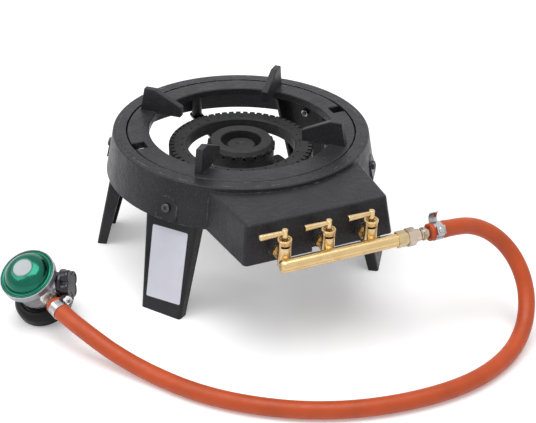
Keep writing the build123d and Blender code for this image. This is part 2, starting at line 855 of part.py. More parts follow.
ring_screw_places = [(0, middle_mid_radius), (0, outer_mid_radius)]
tube_screw_places = [(x, carrier_y) for x in valve_x.values()]
with BuildPart() as front_carrier:
    with BuildSketch(Plane.XY.offset(strap_foot_z)) as strap:
        with Locations((0, carrier_y)):
            RectangleRounded(2 * (post_x + strap_end_margin), strap_width, strap_corner)
        with Locations(*post_places, *tube_screw_places):
            Circle(m5_hole_radius, mode=Mode.SUBTRACT)
    extrude(strap.sketch, amount=strap_thickness)
save(front_carrier.part, "front_carrier")

rear_strap_front_y = middle_mid_radius - strap_end_margin
rear_strap_back_y = rear_post_y + strap_end_margin
with BuildPart() as rear_carrier:
    with BuildSketch(Plane.XY.offset(strap_foot_z)) as strap:
        with Locations((0, (rear_strap_front_y + rear_strap_back_y) / 2)):
            RectangleRounded(strap_width, rear_strap_back_y - rear_strap_front_y, strap_corner)
        with Locations(*ring_screw_places, (0, rear_post_y)):
            Circle(m5_hole_radius, mode=Mode.SUBTRACT)
    extrude(strap.sketch, amount=strap_thickness)
save(rear_carrier.part, "rear_carrier")


def strap_screws(places, reach):
    """Pan head screws from below the straps, reaching up by a length above the strap's foot."""
    with BuildPart() as screws:
        for x, y in places:
            rod(level(x, y, strap_foot_z), m5_shank_radius, reach)
            rod(level(x, y, strap_foot_z - m5_head_height), m5_head_radius, m5_head_height)
        chamfer(screws.edges().group_by(Axis.Z)[0], length=1)
    return screws.part


carrier_screws = strap_screws([*post_places, (0, rear_post_y)], screw_hole_depth - 2)
save(carrier_screws, "carrier_screws")
tube_thread_end = tube_z(carrier_y) - tube_radius - strap_foot_z
burner_screws = strap_screws([*tube_screw_places, *ring_screw_places], tube_thread_end)
save(burner_screws, "burner_screws")

# Manifold and valves

with BuildPart() as manifold_tube:
    manifold_length = manifold_right_x - manifold_left_x
    rod(along_x(manifold_left_x, manifold_y, manifold_z), manifold_radius, manifold_length)
    fillet(manifold_tube.edges().sort_by(Axis.X)[0], radius=manifold_end_rounding)
    rod(along_x(manifold_left_x + manifold_end_wall, manifold_y, manifold_z), manifold_bore_radius,
        manifold_length, Mode.SUBTRACT)
    for x in valve_x.values():
        rod(along_y(x, manifold_y, manifold_z), passage_radius, manifold_offset, Mode.SUBTRACT)
save(manifold_tube.part, "manifold_tube")

stop_slot_z = cup_floor_z + stack_gap + collar_height / 2 - stop_slot_height / 2


def make_valve_body(x):
    """Cup-topped body, coped to the manifold tube behind it, with its outlet towards the apron."""
    with BuildPart() as body:
        turned(level(x, valve_y, 0), [
            (0, valve_foot_z),
            (valve_radius, valve_foot_z),
            (valve_radius, valve_top_z - valve_flare_height),
            (valve_rim_radius, valve_top_z - valve_rim_height),
            (valve_rim_radius, valve_top_z - valve_rim_chamfer),
            (valve_rim_radius - valve_rim_chamfer, valve_top_z),
            (0, valve_top_z),
        ])
        neck_end_y = plate_face_y - nut_length
        rod(along_y(x, valve_y, outlet_z), outlet_neck_radius, neck_end_y - valve_y)
        rod(along_y(x, valve_y, outlet_z), outlet_spigot_radius, plate_inner_y + injector_length / 2 - valve_y)
        rod(along_x(x - 2 * valve_radius, manifold_y, manifold_z), manifold_radius, 4 * valve_radius,
            Mode.SUBTRACT)
        rod(level(x, valve_y, cup_floor_z), cup_radius, cup_depth + 1, Mode.SUBTRACT)
        rod(level(x, valve_y, valve_top_z - valve_mouth_depth), valve_mouth_radius, valve_mouth_depth + 1,
            Mode.SUBTRACT)
        rod(level(x, valve_y, manifold_z), passage_radius, cup_floor_z + 1 - manifold_z, Mode.SUBTRACT)
        rod(along_y(x, manifold_y, manifold_z), passage_radius, manifold_offset, Mode.SUBTRACT)
        rod(along_y(x, valve_y, outlet_z), passage_radius, plate_inner_y + injector_length - valve_y,
            Mode.SUBTRACT)
        reach = 2 * valve_radius
        side = reach * tan(radians(stop_slot_half_angle))
        with BuildSketch(level(x, valve_y, stop_slot_z)) as slot:
            with BuildLine():
                Polyline((0, 0), (side, -reach), (-side, -reach), close=True)
            make_face()
        extrude(slot.sketch, amount=stop_slot_height, mode=Mode.SUBTRACT)
    return body.part


def make_spindle(x):
    """Spindle with its collar, stop pin and the hole for the lever."""
    with BuildPart() as spindle:
        foot_z = cup_floor_z + stack_gap
        top_z = valve_top_z + spindle_standout
        rod(level(x, valve_y, foot_z), spindle_radius, top_z - foot_z)
        fillet(spindle.edges().group_by(Axis.Z)[-1], radius=spindle_top_rounding)
        rod(level(x, valve_y, foot_z), cup_radius - running_clearance, collar_height)
        pin_plane = Plane(origin=(x, valve_y, foot_z + collar_height / 2), x_dir=(0, 0, 1), z_dir=(-1, -1, 0))
        rod(pin_plane, stop_pin_radius, stop_pin_reach)
        rod(along_x(x - 2 * spindle_radius, valve_y, lever_z), lever_pin_radius, 2 * spindle_radius + 0.5,
            Mode.SUBTRACT)
    return spindle.part


def make_lever(x):
    """Round lever pointing at -X, thicker at its tip, with a pin that enters the spindle."""
    with BuildPart() as lever:
        start = Plane(origin=(x, valve_y, lever_z), x_dir=(0, 1, 0), z_dir=(-1, 0, 0))
        turned(start, [(0, 0), (lever_root_radius, 0), (lever_tip_radius, lever_length), (0, lever_length)])
        fillet(lever.edges().filter_by(GeomType.CIRCLE).sort_by(Axis.X)[0], radius=lever_tip_rounding)
        rod(level(x, valve_y, lever_z - 2 * lever_tip_radius), spindle_radius, 4 * lever_tip_radius,
            Mode.SUBTRACT)
        rod(start.offset(-0.5), lever_pin_radius, 2 * spindle_radius)
    return lever.part


for place, x in valve_x.items():
    save(make_valve_body(x), f"{place}_valve_body")
    save(make_spindle(x), f"{place}_valve_spindle")
    save(make_lever(x), f"{place}_valve_lever")

gland_z = cup_floor_z + 2 * stack_gap + collar_height
with BuildPart() as gland_rings:
    for x in valve_x.values():
        rod(level(x, valve_y, gland_z), cup_radius, gland_height)
        rod(level(x, valve_y, gland_z), spindle_radius + running_clearance, gland_height, Mode.SUBTRACT)
save(gland_rings.part, "gland_rings")

with BuildPart() as outlet_lock_nuts:
    for x in valve_x.values():
        nut_plane = along_y(x, plate_face_y - nut_length, outlet_z)
        hex_bar(nut_plane, nut_flats, nut_length)
        rod(nut_plane, outlet_spigot_radius, nut_length, Mode.SUBTRACT)
save(outlet_lock_nuts.part, "outlet_lock_nuts")

with BuildPart() as injectors:
    for x in valve_x.values():
        hex_plane = along_y(x, plate_inner_y, outlet_z)
        hex_bar(hex_plane, injector_flats, injector_length)
        rod(hex_plane, injector_tip_radius, 2.5 * injector_length)
        rod(hex_plane, outlet_spigot_radius, injector_length / 2, Mode.SUBTRACT)
        rod(hex_plane, injector_hole_radius, 4 * injector_length, Mode.SUBTRACT)
save(injectors.part, "injectors")

# Gas inlet: a brass hexagon on the manifold's end and a steel hose nipple

with BuildPart() as inlet_hex:
    inlet_plane = along_x(manifold_right_x, manifold_y, manifold_z)
    hex_bar(inlet_plane, inlet_hex_flats, inlet_hex_length)
    rod(inlet_plane, manifold_bore_radius, inlet_hex_length, Mode.SUBTRACT)
save(inlet_hex.part, "inlet_hex")

hose_start_x = hose_points[0][0]
nipple_x = manifold_right_x + inlet_hex_length
nipple_shoulder_end = nipple_hex_length + nipple_shoulder_length
nipple_waist_start = nipple_shoulder_end + nipple_taper_length
nipple_collar_start = nipple_waist_start + nipple_waist_length
nipple_groove_start = nipple_collar_start + nipple_collar_length
nipple_groove_end = nipple_groove_start + nipple_groove_width
nipple_collar_end = nipple_groove_end + nipple_collar_length
with BuildPart() as hose_nipple:
    nipple_plane = along_x(nipple_x, manifold_y, manifold_z)
    barb_end = hose_start_x + barb_length - nipple_x
    hex_bar(nipple_plane, nipple_hex_flats, nipple_hex_length)
    turned(nipple_plane, [
        (0, 0),
        (nipple_shoulder_radius, 0),
        (nipple_shoulder_radius, nipple_shoulder_end),
        (nipple_waist_radius, nipple_waist_start),
        (nipple_waist_radius, nipple_collar_start),
        (nipple_collar_radius, nipple_collar_start),
        (nipple_collar_radius, nipple_groove_start),
        (nipple_groove_radius, (nipple_groove_start + nipple_groove_end) / 2),
        (nipple_collar_radius, nipple_groove_end),
        (nipple_collar_radius, nipple_collar_end),
        (barb_radius, nipple_collar_end),
        (barb_radius, barb_end),
        (0, barb_end),
    ])
    rod(nipple_plane.offset(-1), nipple_bore_radius, barb_end + 2, Mode.SUBTRACT)
save(hose_nipple.part, "hose_nipple")

# Hose: straight runs joined by tangent arcs, each arc as large as its two runs allow


def corner_radius(before, corner, after):
    """Largest even arc at a corner: 0.45 of the shorter run, over the tangent of half the turn."""
    run_in = Vector(*corner) - Vector(*before)
    run_out = Vector(*after) - Vector(*corner)
    turn = radians(run_in.get_angle(run_out))
    return 0.45 * min(run_in.length, run_out.length) / tan(turn / 2)


hose_radii = [corner_radius(*corner) for corner in zip(hose_points, hose_points[1:], hose_points[2:])]
hose_in = (Vector(*hose_points[1]) - Vector(*hose_points[0])).normalized()
hose_out = (Vector(*hose_points[-1]) - Vector(*hose_points[-2])).normalized()

with BuildPart() as hose:
    with BuildLine() as hose_route:
        FilletPolyline(*hose_points, radius=hose_radii)
    with BuildSketch(Plane(origin=hose_points[0], z_dir=hose_in)):
        Circle(hose_radius)
        Circle(hose_bore_radius, mode=Mode.SUBTRACT)
    sweep()
save(hose.part, "hose")

hose_length = sum(edge.length for edge in hose_route.edges())
hose_section = pi * (hose_radius**2 - hose_bore_radius**2)
print("hose length", round(hose_length, 1), "volume ratio", round(hose.part.volume / hose_section / hose_length, 4))
print("hose radii", [round(r) for r in hose_radii])

# Hose clamps

band_outer_radius = hose_radius + clamp_fit + clamp_band_thickness


def clamp_band(plane):
    """Flat band round the hose, centred on the plane, which looks along the hose."""
    with BuildSketch(plane.offset(-clamp_band_width / 2)) as ring:
        Circle(band_outer_radius)
        Circle(hose_radius + clamp_fit, mode=Mode.SUBTRACT)
    extrude(ring.sketch, amount=clamp_band_width)


# At the burner the clamp's tail curls up behind the hose and its screw sits in a square box in front
burner_clamp_x = hose_start_x + burner_clamp_setback
burner_clamp_centre = Vector(burner_clamp_x, manifold_y, manifold_z)
tail_heading = Vector(0, 0.68, 0.73).normalized()
box_heading = Vector(0, -0.84, 0.55).normalized()
box_plane = Plane(origin=burner_clamp_centre, x_dir=(1, 0, 0), z_dir=box_heading).offset(band_outer_radius - 0.5)
curl_side = Vector(1, 0, 0).cross(tail_heading)
with BuildPart() as burner_clamp_band:
    clamp_band(along_x(burner_clamp_x, manifold_y, manifold_z))
    curl_centre = burner_clamp_centre + tail_heading * (band_outer_radius - 0.2) + curl_side * tail_radius
    curl_plane = Plane(origin=curl_centre, x_dir=curl_side * -1, z_dir=(1, 0, 0))
    with BuildSketch(curl_plane.offset(-clamp_band_width / 2)) as curl:
        with BuildLine():
            back = CenterArc((0, 0), tail_radius + tail_thickness / 2, 0, tail_angle)
            face = CenterArc((0, 0), tail_radius - tail_thickness / 2, 0, tail_angle)
            Line(back @ 0, face @ 0)
            Line(back @ 1, face @ 1)
        make_face()
    extrude(curl.sketch, amount=clamp_band_width)
    with BuildSketch(box_plane) as box:
        RectangleRounded(screw_box_size, screw_box_size, 1)
    extrude(box.sketch, amount=screw_box_height)
    rod(box_plane.offset(screw_box_floor), box_screw_radius + box_screw_clearance, screw_box_height, Mode.SUBTRACT)
save(burner_clamp_band.part, "burner_clamp_band")

with BuildPart() as burner_clamp_screw:
    rod(box_plane.offset(screw_box_floor), box_screw_radius, screw_box_height - box_screw_clearance)
    head_edge = burner_clamp_screw.edges().sort_by(lambda e: e.center().dot(box_heading))[-1]
    fillet(head_edge, radius=box_screw_rounding)
save(burner_clamp_screw.part, "burner_clamp_screw")

# Regulator: everything is placed in its own frame, tilted on the edge of its collar

tilt = radians(regulator_tilt)
lean = radians(regulator_lean_heading)
regulator_axis = Vector(sin(tilt) * cos(lean), sin(tilt) * sin(lean), cos(tilt))
contact_radius = collar_radius - collar_edge_rounding
foot_z = contact_radius * sin(tilt) + collar_edge_rounding * (1 - cos(tilt))
regulator_base = Vector(regulator_foot[0], regulator_foot[1], foot_z)
level_side = Vector(0, 0, 1).cross(regulator_axis).normalized()
regulator = Plane(origin=regulator_base, x_dir=level_side, z_dir=regulator_axis)
regulator_profile = Plane(origin=regulator_base, x_dir=level_side, z_dir=level_side.cross(regulator_axis))


def side_plane(height, turn, distance):
    """Plane facing straight out of the regulator's side, at a distance from its axis."""
    a = radians(turn)
    outward = level_side * cos(a) + regulator_axis.cross(level_side) * sin(a)
    centre = regulator_base + regulator_axis * height + outward * distance
    return Plane(origin=centre, x_dir=regulator_axis.cross(outward), z_dir=outward)


with BuildPart() as regulator_collar:
    with BuildSketch(regulator_profile) as profile:
        with BuildLine():
            side_top = (collar_radius - collar_side_draft, collar_side_height)
            rim = (collar_top_radius, collar_top_height)
            Polyline((collar_bore_radius, collar_floor_height), (collar_bore_radius, 0), (collar_radius, 0), side_top)
            ThreePointArc(side_top, (collar_shoulder_radius, collar_shoulder_height), rim)
            Polyline(rim, (collar_well_radius, collar_top_height), (collar_floor_radius, collar_floor_height),
                     (collar_bore_radius, collar_floor_height))
        make_face()
    revolve(profile.sketch, axis=Axis(regulator_base, regulator_axis))
    foot_edge = regulator_collar.edges().filter_by(lambda e: abs(e.length - 2 * pi * collar_radius) < 0.01)
    fillet(foot_edge, radius=collar_edge_rounding)
save(regulator_collar.part, "regulator_collar")

bore_end_height = socket_foot_height + inlet_depth
recess_end_height = bore_end_height + seal_recess_depth
with BuildPart() as regulator_socket:
    turned(regulator, [
        (inlet_bore_radius, socket_foot_height),
        (socket_radius, socket_foot_height),
        (socket_radius, body_foot_height),
        (gas_way_radius, body_foot_height),
        (gas_way_radius, recess_end_height),
        (seal_radius, recess_end_height),
        (seal_radius, bore_end_height),
        (inlet_bore_radius, bore_end_height),
    ])
save(regulator_socket.part, "regulator_socket")

with BuildPart() as inlet_seal:
    turned(regulator, [
        (seal_bore_radius, recess_end_height - seal_height),
        (seal_radius - running_clearance, recess_end_height - seal_height),
        (seal_radius - running_clearance, recess_end_height),
        (seal_bore_radius, recess_end_height),
    ])
save(inlet_seal.part, "inlet_seal")

rim_inside = body_rim_radius - body_rim_wall
with BuildPart() as regulator_body:
    with BuildSketch(regulator_profile) as profile:
        with BuildLine():
            side_foot = (body_foot_radius + body_foot_chamfer, body_foot_height + body_foot_chamfer)
            shoulder = (body_shoulder_radius, body_shoulder_height)
            Polyline((0, body_seat_height), (0, body_foot_height), (body_foot_radius, body_foot_height), side_foot)
            ThreePointArc(side_foot, (body_waist_radius, body_waist_height), shoulder)
            Polyline(shoulder, (body_rim_radius, body_rim_foot_height), (body_rim_radius, body_rim_height),
                     (rim_inside, body_rim_height), (rim_inside, body_seat_height), (0, body_seat_height))
        make_face()
    revolve(profile.sketch, axis=Axis(regulator_base, regulator_axis))
    rod(side_plane(tap_height, tap_turn, stub_root), tap_stub_radius, hub_face - stub_root)
    rod(side_plane(outlet_height, outlet_turn, stub_root), outlet_stub_radius, outlet_face - stub_root)
save(regulator_body.part, "regulator_body")

cover_radius = rim_inside - running_clearance
cover_foot = body_seat_height + running_clearance
well_radius = disc_radius + 2 * running_clearance
well_height = cover_top_height - cover_well_depth
with BuildPart() as regulator_cover:
    with BuildSketch(regulator_profile) as profile:
        with BuildLine():
            edge = (cover_radius, cover_edge_height)
            brim_bend = (cover_radius - cover_brim_rounding / 3, cover_brim_height - cover_brim_rounding / 5)
            brim = (cover_radius - cover_brim_rounding, cover_brim_height)
            dome_foot = (dome_foot_radius, dome_foot_height)
            dome_shoulder = (dome_shoulder_radius, dome_shoulder_height)
            Polyline((0, well_height), (0, cover_foot), (cover_radius, cover_foot), edge)
            ThreePointArc(edge, brim_bend, brim)
            ThreePointArc(brim, (cover_groove_radius, cover_groove_height), dome_foot)
            ThreePointArc(dome_foot, (dome_side_radius, dome_side_height), dome_shoulder)
            Polyline(dome_shoulder, (cover_flat_radius, cover_top_height), (well_radius, cover_top_height),
                     (well_radius, well_height), (0, well_height))
        make_face()
    revolve(profile.sketch, axis=Axis(regulator_base, regulator_axis))
save(regulator_cover.part, "regulator_cover")

with BuildPart() as rating_disc:
    turned(regulator, [
        (0, well_height),
        (disc_radius, well_height),
        (disc_radius, cover_top_height),
        (disc_radius - disc_chamfer, cover_top_height + disc_standout),
        (0, cover_top_height + disc_standout),
    ])
save(rating_disc.part, "rating_disc")

with BuildPart() as outlet_nipple:
    nipple_plane = side_plane(outlet_height, outlet_turn, outlet_face)
    hose_end = (Vector(*hose_points[-1]) - nipple_plane.origin).length
    rod(nipple_plane, barb_radius + 1.5, 5.5)
    rod(nipple_plane, barb_radius, hose_end + barb_length)
    rod(nipple_plane.offset(-1), nipple_bore_radius, hose_end + barb_length + 2, Mode.SUBTRACT)
save(outlet_nipple.part, "outlet_nipple")

with BuildPart() as tap_hub:
    hub_plane = side_plane(tap_height, tap_turn, hub_face)
    hub_length = knob_face - knob_gap - hub_face
    rod(hub_plane, hub_radius, hub_length)
    rod(hub_plane, knob_stem_radius + running_clearance, hub_length, Mode.SUBTRACT)
save(tap_hub.part, "tap_hub")

with BuildPart() as tap_knob:
    grip_plane = side_plane(tap_height, tap_turn, knob_face)
    end = knob_end_half_thickness
    half = knob_half_length
    with BuildSketch(grip_plane) as grip:
        with BuildLine():
            Line((-half, -end), (-half, end))
            ThreePointArc((-half, end), (0, knob_waist_half_thickness), (half, end))
            Line((half, end), (half, -end))
            ThreePointArc((half, -end), (0, -knob_waist_half_thickness), (-half, -end))
        make_face()
    extrude(grip.sketch, amount=knob_depth)
    knob_face_edges = tap_knob.faces().sort_by(lambda f: f.center().dot(grip_plane.z_dir))[-1].edges()
    fillet(knob_face_edges, radius=knob_rounding)
    rod(grip_plane, knob_base_radius, knob_base_height)
    with BuildSketch(grip_plane.offset(knob_base_height)) as grooves:
        for share in (0.9, 0.72, 0.54, -0.54, -0.72, -0.9):
            for side in (-1, 1):
                with Locations((share * half, side * end)):
                    Rectangle(knob_groove_width, 2 * knob_groove_depth)
    extrude(grooves.sketch, amount=knob_depth, mode=Mode.SUBTRACT)
    rod(hub_plane.offset(stack_gap), knob_stem_radius, knob_face - hub_face - stack_gap + 1)
save(tap_knob.part, "tap_knob")

# At the regulator the clamp has two ears beside the hose, drawn together by an upright screw

clamp_centre = Vector(*hose_points[-1]) - hose_out * regulator_clamp_setback
ear_heading = regulator_axis.cross(hose_out * -1).normalized()
band_plane = Plane(origin=clamp_centre, x_dir=ear_heading, z_dir=hose_out * -1)
ear_side = band_plane.y_dir
screw_centre = clamp_centre + ear_heading * ear_screw_reach
with BuildPart() as regulator_clamp_band:
    clamp_band(band_plane)
    for side in (-1, 1):
        root = clamp_centre + ear_heading * (hose_radius + 0.1) + ear_side * (ear_spacing / 2 * side)
        with BuildSketch(Plane(origin=root, x_dir=ear_side.cross(ear_heading) * -1, z_dir=ear_side)) as ear:
            with BuildLine():
                half = clamp_band_width / 2
                Line((-half, 0), (half, 0))
                Line((half, 0), (half, ear_height / 2))
                ThreePointArc((half, ear_height / 2), (0, ear_height), (-half, ear_height / 2))
                Line((-half, ear_height / 2), (-half, 0))
            make_face()
        extrude(ear.sketch, amount=ear_thickness / 2, both=True)
    rod(Plane(origin=screw_centre - ear_side * ear_spacing, z_dir=ear_side), ear_screw_radius + clamp_fit,
        2 * ear_spacing, Mode.SUBTRACT)
save(regulator_clamp_band.part, "regulator_clamp_band")

ear_face = (ear_spacing + ear_thickness) / 2
with BuildPart() as regulator_clamp_screw:
    screw_seat = Plane(origin=screw_centre, z_dir=ear_side)
    rod(screw_seat.offset(-ear_face - ear_screw_standout), ear_screw_radius, 2 * ear_face + ear_screw_standout)
    hex_bar(screw_seat.offset(-ear_face - ear_nut_height), ear_nut_flats, ear_nut_height)
    rod(screw_seat.offset(ear_face), ear_washer_radius, ear_washer_thickness)
    rod(screw_seat.offset(ear_face + ear_washer_thickness), ear_head_radius, ear_head_height)
save(regulator_clamp_screw.part, "regulator_clamp_screw")
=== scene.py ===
"""Looks of the gas wok burner: camera, lamps, floor, materials and the fine pieces the solids leave out.

Lengths are in metres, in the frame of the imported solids.
"""

import math

import bpy
from mathutils import Matrix, Vector


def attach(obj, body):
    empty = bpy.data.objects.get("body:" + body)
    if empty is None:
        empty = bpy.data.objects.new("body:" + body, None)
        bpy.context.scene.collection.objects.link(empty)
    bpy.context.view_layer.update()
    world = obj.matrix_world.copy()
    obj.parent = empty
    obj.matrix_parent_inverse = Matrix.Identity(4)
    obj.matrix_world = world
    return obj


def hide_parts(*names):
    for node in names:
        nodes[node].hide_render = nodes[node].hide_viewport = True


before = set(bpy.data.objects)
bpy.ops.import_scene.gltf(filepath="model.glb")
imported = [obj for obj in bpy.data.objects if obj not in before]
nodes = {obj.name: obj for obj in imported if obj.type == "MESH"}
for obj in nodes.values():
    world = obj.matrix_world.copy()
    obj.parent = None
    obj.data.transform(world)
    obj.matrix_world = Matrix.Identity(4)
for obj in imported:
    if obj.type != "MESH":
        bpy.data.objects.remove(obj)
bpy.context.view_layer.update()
mm = 0.001


# Building pieces


def collect(obj):
    """Put an object into the scene."""
    bpy.context.scene.collection.objects.link(obj)
    return obj


def solid(name, vertices, faces, material, body, smooth=True, crease=None):
    """Mesh piece riding on a body. Edges that bend by more than the crease stay sharp."""
    mesh = bpy.data.meshes.new(name)
    mesh.from_pydata([tuple(v) for v in vertices], [], faces)
    mesh.validate()
    for polygon in mesh.polygons:
        polygon.use_smooth = smooth
    if crease:
        mesh.set_sharp_from_angle(angle=math.radians(crease))
    mesh.materials.append(material)
    obj = collect(bpy.data.objects.new(name, mesh))
    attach(obj, body)
    return obj


def round_angles(count):
    """Angles at even steps round a circle, in radians."""
    return [2 * math.pi * k / count for k in range(count)]


def band(first, second, sides):
    """Faces between two closed rings of points, each given by the index of its first point."""
    faces = []
    for k in range(sides):
        after = (k + 1) % sides
        faces.append((first + k, first + after, second + after, second + k))
    return faces


def fall(value, start, end):
    """1 up to the start, 0 from the end on, and a straight slope between them."""
    return min(1.0, max(0.0, (end - value) / (end - start)))


def world_points(name):
    """The points of a node's mesh."""
    return [nodes[name].matrix_world @ v.co for v in nodes[name].data.vertices]


# Camera, at the photograph's viewing angle

camera_place = Vector((-0.45034, -1.02688, 0.70401))
camera_target = Vector((0.05909, 0.05228, 0.0))
camera_roll = math.radians(1.350)
camera_ahead = (camera_target - camera_place).normalized()
level_right = camera_ahead.cross(Vector((0, 0, 1))).normalized()
level_up = level_right.cross(camera_ahead)
camera_right = level_right * math.cos(camera_roll) + level_up * math.sin(camera_roll)
camera_up = camera_right.cross(camera_ahead)
camera_data = bpy.data.cameras.new("camera")
camera_data.sensor_width = 36.0
camera_data.lens = 77.24
camera_data.clip_start = 0.05
camera_data.clip_end = 50.0
camera = collect(bpy.data.objects.new("camera", camera_data))
camera_turn = Matrix((camera_right, camera_up, -camera_ahead)).transposed()
camera.matrix_world = Matrix.Translation(camera_place) @ camera_turn.to_4x4()
bpy.context.scene.camera = camera
bpy.context.scene.view_settings.view_transform = "Standard"


# Node trees, with the sockets of a Mix node that mixes colours by their numbers

mix_share, mix_first, mix_second = 0, 6, 7
mix_colour = 2


class Nodes:
    """Node tree with short calls that add and link its nodes."""

    def __init__(self, tree):
        self.tree = tree

    def feed(self, socket, value):
        """Link a value that comes from another node, or else set it."""
        if isinstance(value, bpy.types.NodeSocket):
            self.tree.links.new(value, socket)
        elif socket.type == "RGBA":
            socket.default_value = (*value, 1.0)
        else:
            socket.default_value = value

    def add(self, kind, inputs=None, **settings):
        """Node of a kind, with its settings and what its inputs get."""
        node = self.tree.nodes.new(kind)
        for key, value in settings.items():
            setattr(node, key, value)
        for key, value in (inputs or {}).items():
            self.feed(node.inputs[key], value)
        return node

    def maths(self, operation, first, second):
        """Result of one operation on two values."""
        return self.add("ShaderNodeMath", {0: first, 1: second}, operation=operation).outputs[0]

    def blend(self, share, first, second):
        """Colour that goes from the first to the second as the share goes from 0 to 1."""
        inputs = {mix_share: share, mix_first: first, mix_second: second}
        return self.add("ShaderNodeMix", inputs, data_type="RGBA").outputs[mix_colour]

    def seen_directly(self):
        """1 for what the camera, mirrors and clear pieces see, 0 for the light that falls on the part."""
        rays = self.add("ShaderNodeLightPath").outputs
        mirrored = self.maths("MAXIMUM", rays["Is Camera Ray"], rays["Is Glossy Ray"])
        return self.maths("MAXIMUM", mirrored, rays["Is Transmission Ray"])


class Finish(Nodes):
    """Material with a Principled shader, in the piece's own coordinates."""

    def __init__(self, name):
        self.material = bpy.data.materials.new(name)
        self.material.use_nodes = True
        super().__init__(self.material.node_tree)
        self.shader = self.tree.nodes["Principled BSDF"]
        self.place = self.add("ShaderNodeTexCoord").outputs["Object"]

    def set(self, key, value):
        """Feed an input of the shader."""
        self.feed(self.shader.inputs[key], value)

    def noise(self, scale, detail=3.0, roughness=0.55, stretch=None):
        """Noise from 0 to 1 with features of 1/scale metres, drawn out by the stretch."""
        vector = self.place
        if stretch:
            vector = self.add("ShaderNodeMapping", {"Vector": vector, "Scale": stretch}).outputs["Vector"]
        inputs = {"Vector": vector, "Scale": scale, "Detail": detail, "Roughness": roughness}
        return self.add("ShaderNodeTexNoise", inputs).outputs["Fac"]

    def spread(self, value, low, high, start=0.3, end=0.7):
        """Value mapped from start..end to low..high, clamped."""
        inputs = {"Value": value, "From Min": start, "From Max": end, "To Min": low, "To Max": high}
        return self.add("ShaderNodeMapRange", inputs).outputs["Result"]

    def dot(self, first, second):
        """Dot product of two directions or places."""
        product = self.add("ShaderNodeVectorMath", {0: first, 1: second}, operation="DOT_PRODUCT")
        return product.outputs["Value"]

    def rounded(self, radius):
        """Normal as if sharp edges were rounded by a radius."""
        return self.add("ShaderNodeBevel", {"Radius": radius}, samples=4).outputs["Normal"]

    def edges(self, radius):
        """About 1 along sharp edges, falling to 0 within the radius."""
        bent = self.rounded(radius)
        flat = self.add("ShaderNodeNewGeometry").outputs["Normal"]
        return self.spread(self.dot(bent, flat), 1.0, 0.0, start=0.8, end=0.995)

    def beyond(self, direction, distance, softness, tone, shade):
        """Tone that turns to a shade beyond a distance along a direction."""
        reached = self.dot(self.place, tuple(direction))
        share = self.spread(reached, 0, 1, start=distance - softness, end=distance + softness)
        return self.blend(share, tone, shade)

    def relief(self, layers, rounding=None):
        """Bump from (noise, depth in metres) layers over edges rounded by a radius."""
        normal = self.rounded(rounding) if rounding else None
        for height, depth in layers:
            inputs = {"Height": height, "Strength": 1.0, "Distance": depth}
            if normal:
                inputs["Normal"] = normal
            normal = self.add("ShaderNodeBump", inputs).outputs["Normal"]
        self.set("Normal", normal)


# Finishes


def tint(colour, factor, lift=0.0):
    """Colour made darker or lighter by a factor."""
    return tuple(min(1.0, c * factor + lift) for c in colour)


def painted_casting(name, colour, worn, roughness, grain_depth, wear, sheen, speckle=0.55):
    """Stove paint over sand-cast iron: pitted, lumpy, lighter and rougher in patches, worn at the edges."""
    look = Finish(name)
    patches = look.noise(28.0, detail=4.0)
    grain = look.noise(620.0, roughness=0.6)
    lumps = look.noise(160.0)
    chips = look.noise(110.0, detail=5.0, roughness=0.65)
    tone = look.blend(look.spread(patches, 0, 1), tint(colour, 0.72), tint(colour, 1.35))
    tone = look.blend(look.spread(grain, 0, speckle, start=0.5, end=0.72), tone, tint(colour, 2.6))
    chipped = look.maths("MULTIPLY", look.edges(1.2 * mm), look.spread(chips, 0, wear, start=0.5, end=0.66))
    look.set("Base Color", look.blend(chipped, tone, worn))
    look.set("Roughness", look.spread(look.noise(60.0), roughness - 0.07, roughness + 0.09))
    look.set("Specular IOR Level", sheen)
    look.relief([(lumps, 0.5 * mm), (grain, grain_depth)], rounding=0.9 * mm)
    return look.material


def metal(name, colour, tarnish, roughness, stretch=None, share=0.5, metallic=1.0, zone=None):
    """Bare metal: marks drawn out one way, tarnish in patches, brighter edges.

    A zone (direction, distance, softness, shade) has its own shade beyond a distance along a direction.
    """
    look = Finish(name)
    marks = look.noise(2600.0, detail=2.0, roughness=0.5, stretch=stretch)
    patches = look.noise(90.0, detail=4.0)
    fine = look.noise(700.0)
    tone = look.blend(look.spread(patches, 0, share, start=0.42, end=0.72), colour, tarnish)
    tone = look.blend(look.spread(marks, 0, 0.3, start=0.35), tone, tint(colour, 0.72))
    tone = look.blend(look.maths("MULTIPLY", look.edges(0.5 * mm), 0.6), tone, tint(colour, 1.3))
    if zone:
        direction, distance, softness, shade = zone
        tone = look.beyond(direction, distance, softness, tone, shade)
    dulling = look.maths("ADD", look.maths("MULTIPLY", patches, 0.6), look.maths("MULTIPLY", fine, 0.4))
    look.set("Base Color", tone)
    look.set("Metallic", metallic)
    look.set("Roughness", look.spread(dulling, roughness - 0.07, roughness + 0.12))
    look.relief([(fine, 0.006 * mm), (marks, 0.008 * mm)], rounding=0.4 * mm)
    return look.material


def rubber_hose(name, colour, dust):
    """Extruded rubber: deeper and lighter patches, rubbed dull in places, with specks of dust."""
    look = Finish(name)
    patches = look.noise(34.0, detail=4.0)
    tone = look.blend(look.spread(patches, 0, 1), tint(colour, 0.86), tint(colour, 1.1))
    dusty = look.spread(look.noise(420.0), 0, 0.1, start=0.6, end=0.78)
    look.set("Base Color", look.blend(dusty, tone, dust))
    look.set("Roughness", look.spread(look.noise(120.0), 0.38, 0.56))
    look.set("Specular IOR Level", 0.45)
    look.set("Subsurface Weight", 0.05)
    look.set("Subsurface Radius", (0.003, 0.0008, 0.0004))
    ripple = look.noise(180.0, detail=2.0)
    grain = look.noise(1500.0, detail=2.0)
    look.relief([(ripple, 0.12 * mm), (grain, 0.03 * mm)])
    return look.material


